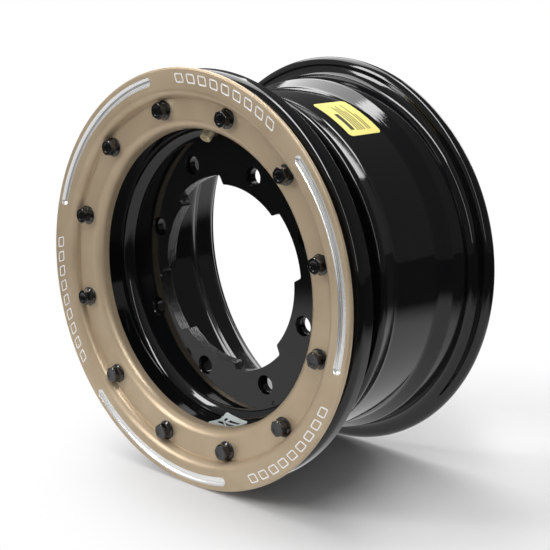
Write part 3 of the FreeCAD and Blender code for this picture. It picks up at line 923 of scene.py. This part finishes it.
makeBolts()
print("bolts")


# Valve stem: brass, turned, with a rolled thread
def makeValveStem():
    v = valve
    corners = [(v["radius"] - v["chamfer"], v["mouth"], 0)]
    place = v["mouth"] + v["chamfer"]
    while place < v["threadTo"]:
        corners.append((v["radius"], place, 0))
        corners.append((v["radius"], place + v["pitch"] * v["crestShare"], 0))
        corners.append((v["radius"] - v["threadDepth"], place + v["pitch"] * v["rootShare"], 0))
        place += v["pitch"]
    corners += [
        (v["radius"], place, 0),
        (v["radius"], v["threadEnd"], 0),
        (v["neckRadius"], v["threadEnd"] + v["neckSlope"], 0),
        (v["neckRadius"], v["back"] - v["headHeight"], 0),
        (v["headRadius"], v["back"] - v["headHeight"], v["headRound"]),
        (v["headRadius"], v["back"], v["headRound"]),
        (v["passage"], v["back"], 0),
        (v["passage"], v["chamber"], 0),
        (v["bore"], v["chamber"] - v["chamberSlope"], 0),
        (v["bore"], v["mouth"], v["mouthRound"]),
    ]
    piece = spinOutline("valveStem", corners, smallSteps)
    piece.data.transform(valveMatrix())
    smoothByAngle(piece, 40)
    return finishPiece(piece, brass, "valve_brass", "wheel", "valve_stem")


makeValveStem()
print("valve")


# Labels: film laid on the metal
# "from" is where the film starts before it is laid, counted outwards from the metal
dropLabel = {
    "clock": 62.2, "middle": 92.5, "length": 38.3, "width": 31.0, "round": 3.0,
    "lean": 0.0, "tilt": 0.0, "from": 8, "side": 1,
}
bowlLabel = {
    "clock": -84.4, "middle": 26.0, "length": 25.0, "width": 16.5, "round": 2.0,
    "lean": 20.0, "tilt": 10.3, "from": -14, "side": -1,
}
film = {"thickness": 0.15, "glue": 0.03, "cuts": 28, "roundSteps": 6}


def layLabel(name, sizes, target, radius):
    outward = polar(1, 0, sizes["clock"])
    outward.y = 0
    outward.normalize()
    along = polar(1, 0, sizes["clock"] + 90)
    along.y = 0
    along.normalize()
    lean = math.radians(sizes["lean"])
    view = outward * math.cos(lean) + Vector((0, 1, 0)) * math.sin(lean)
    across = view.cross(along)
    deselectAll()
    bpy.ops.mesh.primitive_plane_add(size=1)
    piece = bpy.context.object
    piece.name = name
    piece.scale = (mm(sizes["length"]), mm(sizes["width"]), 1)
    bpy.ops.object.transform_apply(location=True, rotation=True, scale=True)
    piece.data.uv_layers[0].name = "labelMap"
    bpy.ops.object.mode_set(mode="EDIT")
    bpy.ops.mesh.select_all(action="SELECT")
    bpy.ops.mesh.bevel(affect="VERTICES", offset=mm(sizes["round"]), segments=film["roundSteps"])
    # cuts both ways let the film bend with the metal
    for direction, size in (((1, 0, 0), sizes["length"]), ((0, 1, 0), sizes["width"])):
        for index in range(1, film["cuts"]):
            place = mm(size) * (index / film["cuts"] - 0.5)
            bpy.ops.mesh.select_all(action="SELECT")
            bpy.ops.mesh.bisect(plane_co=Vector(direction) * place, plane_no=direction)
    bpy.ops.object.mode_set(mode="OBJECT")
    basis = Matrix((along, across, view)).transposed().to_4x4()
    start = polar(radius, sizes["middle"], sizes["clock"]) + view * mm(sizes["from"])
    tilt = Matrix.Rotation(math.radians(sizes["tilt"]), 4, "Z")
    piece.data.transform(Matrix.Translation(start) @ basis @ tilt)
    wrap = piece.modifiers.new("wrap", "SHRINKWRAP")
    wrap.target = target
    wrap.wrap_method = "PROJECT"
    wrap.use_negative_direction = True
    wrap.use_positive_direction = True
    wrap.offset = mm(film["glue"])
    thick = piece.modifiers.new("thick", "SOLIDIFY")
    thick.thickness = mm(film["thickness"])
    thick.offset = sizes["side"]
    applyModifiers(piece)
    smoothByAngle(piece, 40)
    return piece


yellowFilm = printedFilm("screenPrintedVinyl", "#ebe084", "#3d3a24", 0.3, [
    (0.70, 0.82, 0.14, 0.60),
    (0.60, 0.63, 0.12, 0.84), (0.53, 0.56, 0.12, 0.78), (0.46, 0.49, 0.12, 0.86),
    (0.39, 0.42, 0.12, 0.66), (0.28, 0.31, 0.12, 0.86), (0.21, 0.24, 0.12, 0.55),
])
silverFilm = printedFilm("metallisedPolyester", "#c4cbca", "#22272a", 0.22, [
    (0.52, 0.70, 0.14, 0.84), (0.22, 0.46, 0.14, 0.24), (0.24, 0.38, 0.34, 0.84),
])

dropFilm = layLabel("dropFilm", dropLabel, innerShell, barrel["drop"])
finishPiece(dropFilm, yellowFilm, "yellow_label", "wheel", "drop_label")
bowlFilm = layLabel("bowlFilm", bowlLabel, outerShell, shell["bowl"])
finishPiece(bowlFilm, silverFilm, "silver_label", "wheel", "bowl_label")
print("labels")


# Nodes that stay as they are get their finish
for nodeName, material in (
    ("ring_weld", powder), ("well_weld", powder), ("valve_grommet", rubber),
    ("valve_core", brass), ("valve_pin", brass),
):
    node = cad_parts[nodeName]
    node.data.materials.clear()
    node.data.materials.append(material)
print("frame finishes")


# Floor, light and camera
studio = {
    "viewClock": -46.3,  # degrees from +X to the direction of the camera
    "floorSize": 60.0,
    "paper": "#d0d0d0",
    # the shadow's middle on the floor, towards the camera and right, in metres
    "shadow": (-0.02, 0.13),
    "whiteFrom": 0.13,  # metres from there, where the paper starts to fade into white
    "whiteTo": 0.29,
    # where the painted pool of light on the table starts and stops fading in reflections, in metres
    "tableFront": (0.24, 0.40),
    "tableRight": (0.30, 0.50),
    "tableLeft": (-0.42, -0.56),
    # the brightness of the painted light on the table, as seen in reflections
    "paintedTableLight": 0.75,
    "beyond": 0.05,  # what is left of its light past those edges
    # the room's light in reflections, and its plain fill on the wheel
    "roomRight": 0.15,
    "roomLeft": 0.45,
    "fill": 0.3,
}
# towards the camera, right, up; size across and along; radiance
downLights = {
    "overheadStrip": ((0.54, 0.06, 1.2), (1.56, 0.22), 13.0),
    "backPanel": ((-1.2, -0.3, 1.2), (2.0, 1.0), 4.0),
}
aimedLights = {
    "leftStrip": ((0.3, -1.45, 0.75), (0.3, 0.8), 14.0),
    "frontStrip": ((2.6, 0.3, 1.2), (0.2, 2.2), 5.0),
    "backRightBox": ((-1.37, 0.96, 0.67), (0.7, 0.8), 4.0),
}


def studioPlace(towards, rightward, height):
    # metres towards the camera, to its right and above the wheel's centre
    turn = math.radians(studio["viewClock"])
    return Vector((
        towards * math.cos(turn) - rightward * math.sin(turn),
        towards * math.sin(turn) + rightward * math.cos(turn),
        height,
    ))


def makeFloor():
    deselectAll()
    bpy.ops.mesh.primitive_plane_add(size=studio["floorSize"], location=(0, 0, cadBox[0].z))
    floor = bpy.context.object
    floor.name = "studioFloor"
    bpy.ops.object.transform_apply(location=True, rotation=True, scale=True)
    material = bpy.data.materials.new("palePaper")
    material.use_nodes = True
    tree = material.node_tree
    tree.nodes.clear()
    diffuse = addNode(tree, "ShaderNodeBsdfDiffuse", {}, {"Color": linearColour(studio["paper"])})
    paths = addNode(tree, "ShaderNodeLightPath", {}, {})
    place = addNode(tree, "ShaderNodeTexCoord", {}, {}).outputs["Object"]
    # the camera sees the paper fade into plain white away from the wheel
    away = addNode(tree, "ShaderNodeVectorMath", {"operation": "DISTANCE"}, {
        0: place, 1: studioPlace(*studio["shadow"], cadBox[0].z)}).outputs["Value"]
    fade = addNode(tree, "ShaderNodeMapRange", {"interpolation_type": "SMOOTHSTEP"}, {
        "Value": away, "From Min": studio["whiteFrom"], "From Max": studio["whiteTo"],
    }).outputs["Result"]
    seen = addNode(tree, "ShaderNodeMath", {"operation": "MAXIMUM"}, {
        0: paths.outputs["Is Camera Ray"], 1: paths.outputs["Is Transmission Ray"]}).outputs[0]
    share = addNode(tree, "ShaderNodeMath", {"operation": "MULTIPLY"}, {
        0: seen, 1: fade}).outputs[0]
    white = addNode(tree, "ShaderNodeEmission", {}, {"Strength": 1.0})
    bright = addNode(tree, "ShaderNodeMixShader", {}, {
        0: share, 1: diffuse.outputs[0], 2: white.outputs[0]})
    # reflections show a painted pool of light on the table: the floor glows for glossy rays only,
    # though it is no lamp, and the glow ends a little in front of the wheel and beside it
    turned = addNode(tree, "ShaderNodeVectorRotate", {"rotation_type": "Z_AXIS"}, {
        "Vector": place, "Angle": -math.radians(studio["viewClock"])}).outputs[0]
    split = addNode(tree, "ShaderNodeSeparateXYZ", {}, {0: turned})
    paintedGlow = studio["paintedTableLight"]
    for socket, edge in (
        ("X", studio["tableFront"]), ("Y", studio["tableRight"]), ("Y", studio["tableLeft"]),
    ):
        inside = addNode(tree, "ShaderNodeMapRange", {"interpolation_type": "SMOOTHSTEP"}, {
            "Value": split.outputs[socket], "From Min": edge[0], "From Max": edge[1],
            "To Min": 1.0, "To Max": 0.0,
        })
        paintedGlow = addNode(tree, "ShaderNodeMath", {"operation": "MULTIPLY"}, {
            0: inside.outputs["Result"], 1: paintedGlow}).outputs[0]
    paintedGlow = addNode(tree, "ShaderNodeMath", {"operation": "ADD"}, {
        0: paintedGlow, 1: studio["beyond"]}).outputs[0]
    paintedReflection = addNode(tree, "ShaderNodeEmission", {}, {"Strength": paintedGlow})
    either = addNode(tree, "ShaderNodeMixShader", {}, {
        0: paths.outputs["Is Glossy Ray"], 1: bright.outputs[0], 2: paintedReflection.outputs[0]})
    addNode(tree, "ShaderNodeOutputMaterial", {}, {"Surface": either.outputs[0]})
    floor.data.materials.append(material)


def makeWorld():
    # white behind the wheel, a soft fill on it, and a dim room in its gloss, lighter on the left
    world = bpy.data.worlds.new("studioRoom")
    bpy.context.scene.world = world
    world.use_nodes = True
    tree = world.node_tree
    tree.nodes.clear()
    paths = addNode(tree, "ShaderNodeLightPath", {}, {})
    toward = addNode(tree, "ShaderNodeTexCoord", {}, {}).outputs["Generated"]
    side = addNode(tree, "ShaderNodeVectorMath", {"operation": "DOT_PRODUCT"}, {
        0: toward, 1: studioPlace(0, 1, 0)}).outputs["Value"]
    room = addNode(tree, "ShaderNodeMapRange", {}, {
        "Value": side, "From Min": -1.0, "From Max": 0.0,
        "To Min": studio["roomLeft"], "To Max": studio["roomRight"],
    }).outputs["Result"]
    fill = addNode(tree, "ShaderNodeMix", {"data_type": "FLOAT"}, {
        "Factor": paths.outputs["Is Glossy Ray"], "A": studio["fill"], "B": room}).outputs["Result"]
    seen = addNode(tree, "ShaderNodeMath", {"operation": "MAXIMUM"}, {
        0: paths.outputs["Is Camera Ray"], 1: paths.outputs["Is Transmission Ray"]}).outputs[0]
    strength = addNode(tree, "ShaderNodeMix", {"data_type": "FLOAT"}, {
        "Factor": seen, "A": fill, "B": 1.0}).outputs["Result"]
    light = addNode(tree, "ShaderNodeBackground", {}, {"Color": (1, 1, 1, 1), "Strength": strength})
    addNode(tree, "ShaderNodeOutputWorld", {}, {"Surface": light.outputs[0]})


def addSoftbox(name, place, size, radiance):
    deselectAll()
    bpy.ops.object.light_add(type="AREA", location=place)
    lamp = bpy.context.object
    lamp.name = name
    lamp.data.shape = "RECTANGLE"
    lamp.data.size, lamp.data.size_y = size
    lamp.data.energy = radiance * math.pi * size[0] * size[1]
    lamp.rotation_mode = "QUATERNION"
    return lamp


def addLights():
    # one narrow strip overhead and one beside the camera draw the lines on the gloss black
    for name, (place, size, radiance) in downLights.items():
        lamp = addSoftbox(name, studioPlace(*place), size, radiance)
        turn = Matrix.Rotation(math.radians(studio["viewClock"]), 3, "Z")
        lamp.rotation_quaternion = turn.to_quaternion()
    for name, (place, size, radiance) in aimedLights.items():
        lamp = addSoftbox(name, studioPlace(*place), size, radiance)
        lamp.rotation_quaternion = (-studioPlace(*place)).to_track_quat("-Z", "Y")


def makeCamera():
    # solved from the wheel's circles: 43.7 degrees round, 12.9 degrees up, 0.92 m away
    look = {
        "back": Vector((0.67329, -0.70475, 0.22368)),
        "right": Vector((0.72306, 0.69079, 0.0)),
        "up": Vector((-0.15452, 0.16173, 0.97468)),
        "place": Vector((662.8, -611.9, 212.1)) / 1000,
        "lens": 92.893,
    }
    deselectAll()
    bpy.ops.object.camera_add()
    camera = bpy.context.object
    camera.name = "photoCamera"
    turn = Matrix((look["right"], look["up"], look["back"])).transposed().to_4x4()
    place = look["place"] + Vector((0, frontY, 0))
    camera.matrix_world = Matrix.Translation(place) @ turn
    camera.data.lens = look["lens"]
    camera.data.sensor_width = 36
    camera.data.clip_start = 0.01
    bpy.context.scene.camera = camera


makeFloor()
makeWorld()
addLights()
makeCamera()
bpy.context.scene.view_settings.view_transform = "Standard"
print("studio")

bpy.context.view_layer.update()
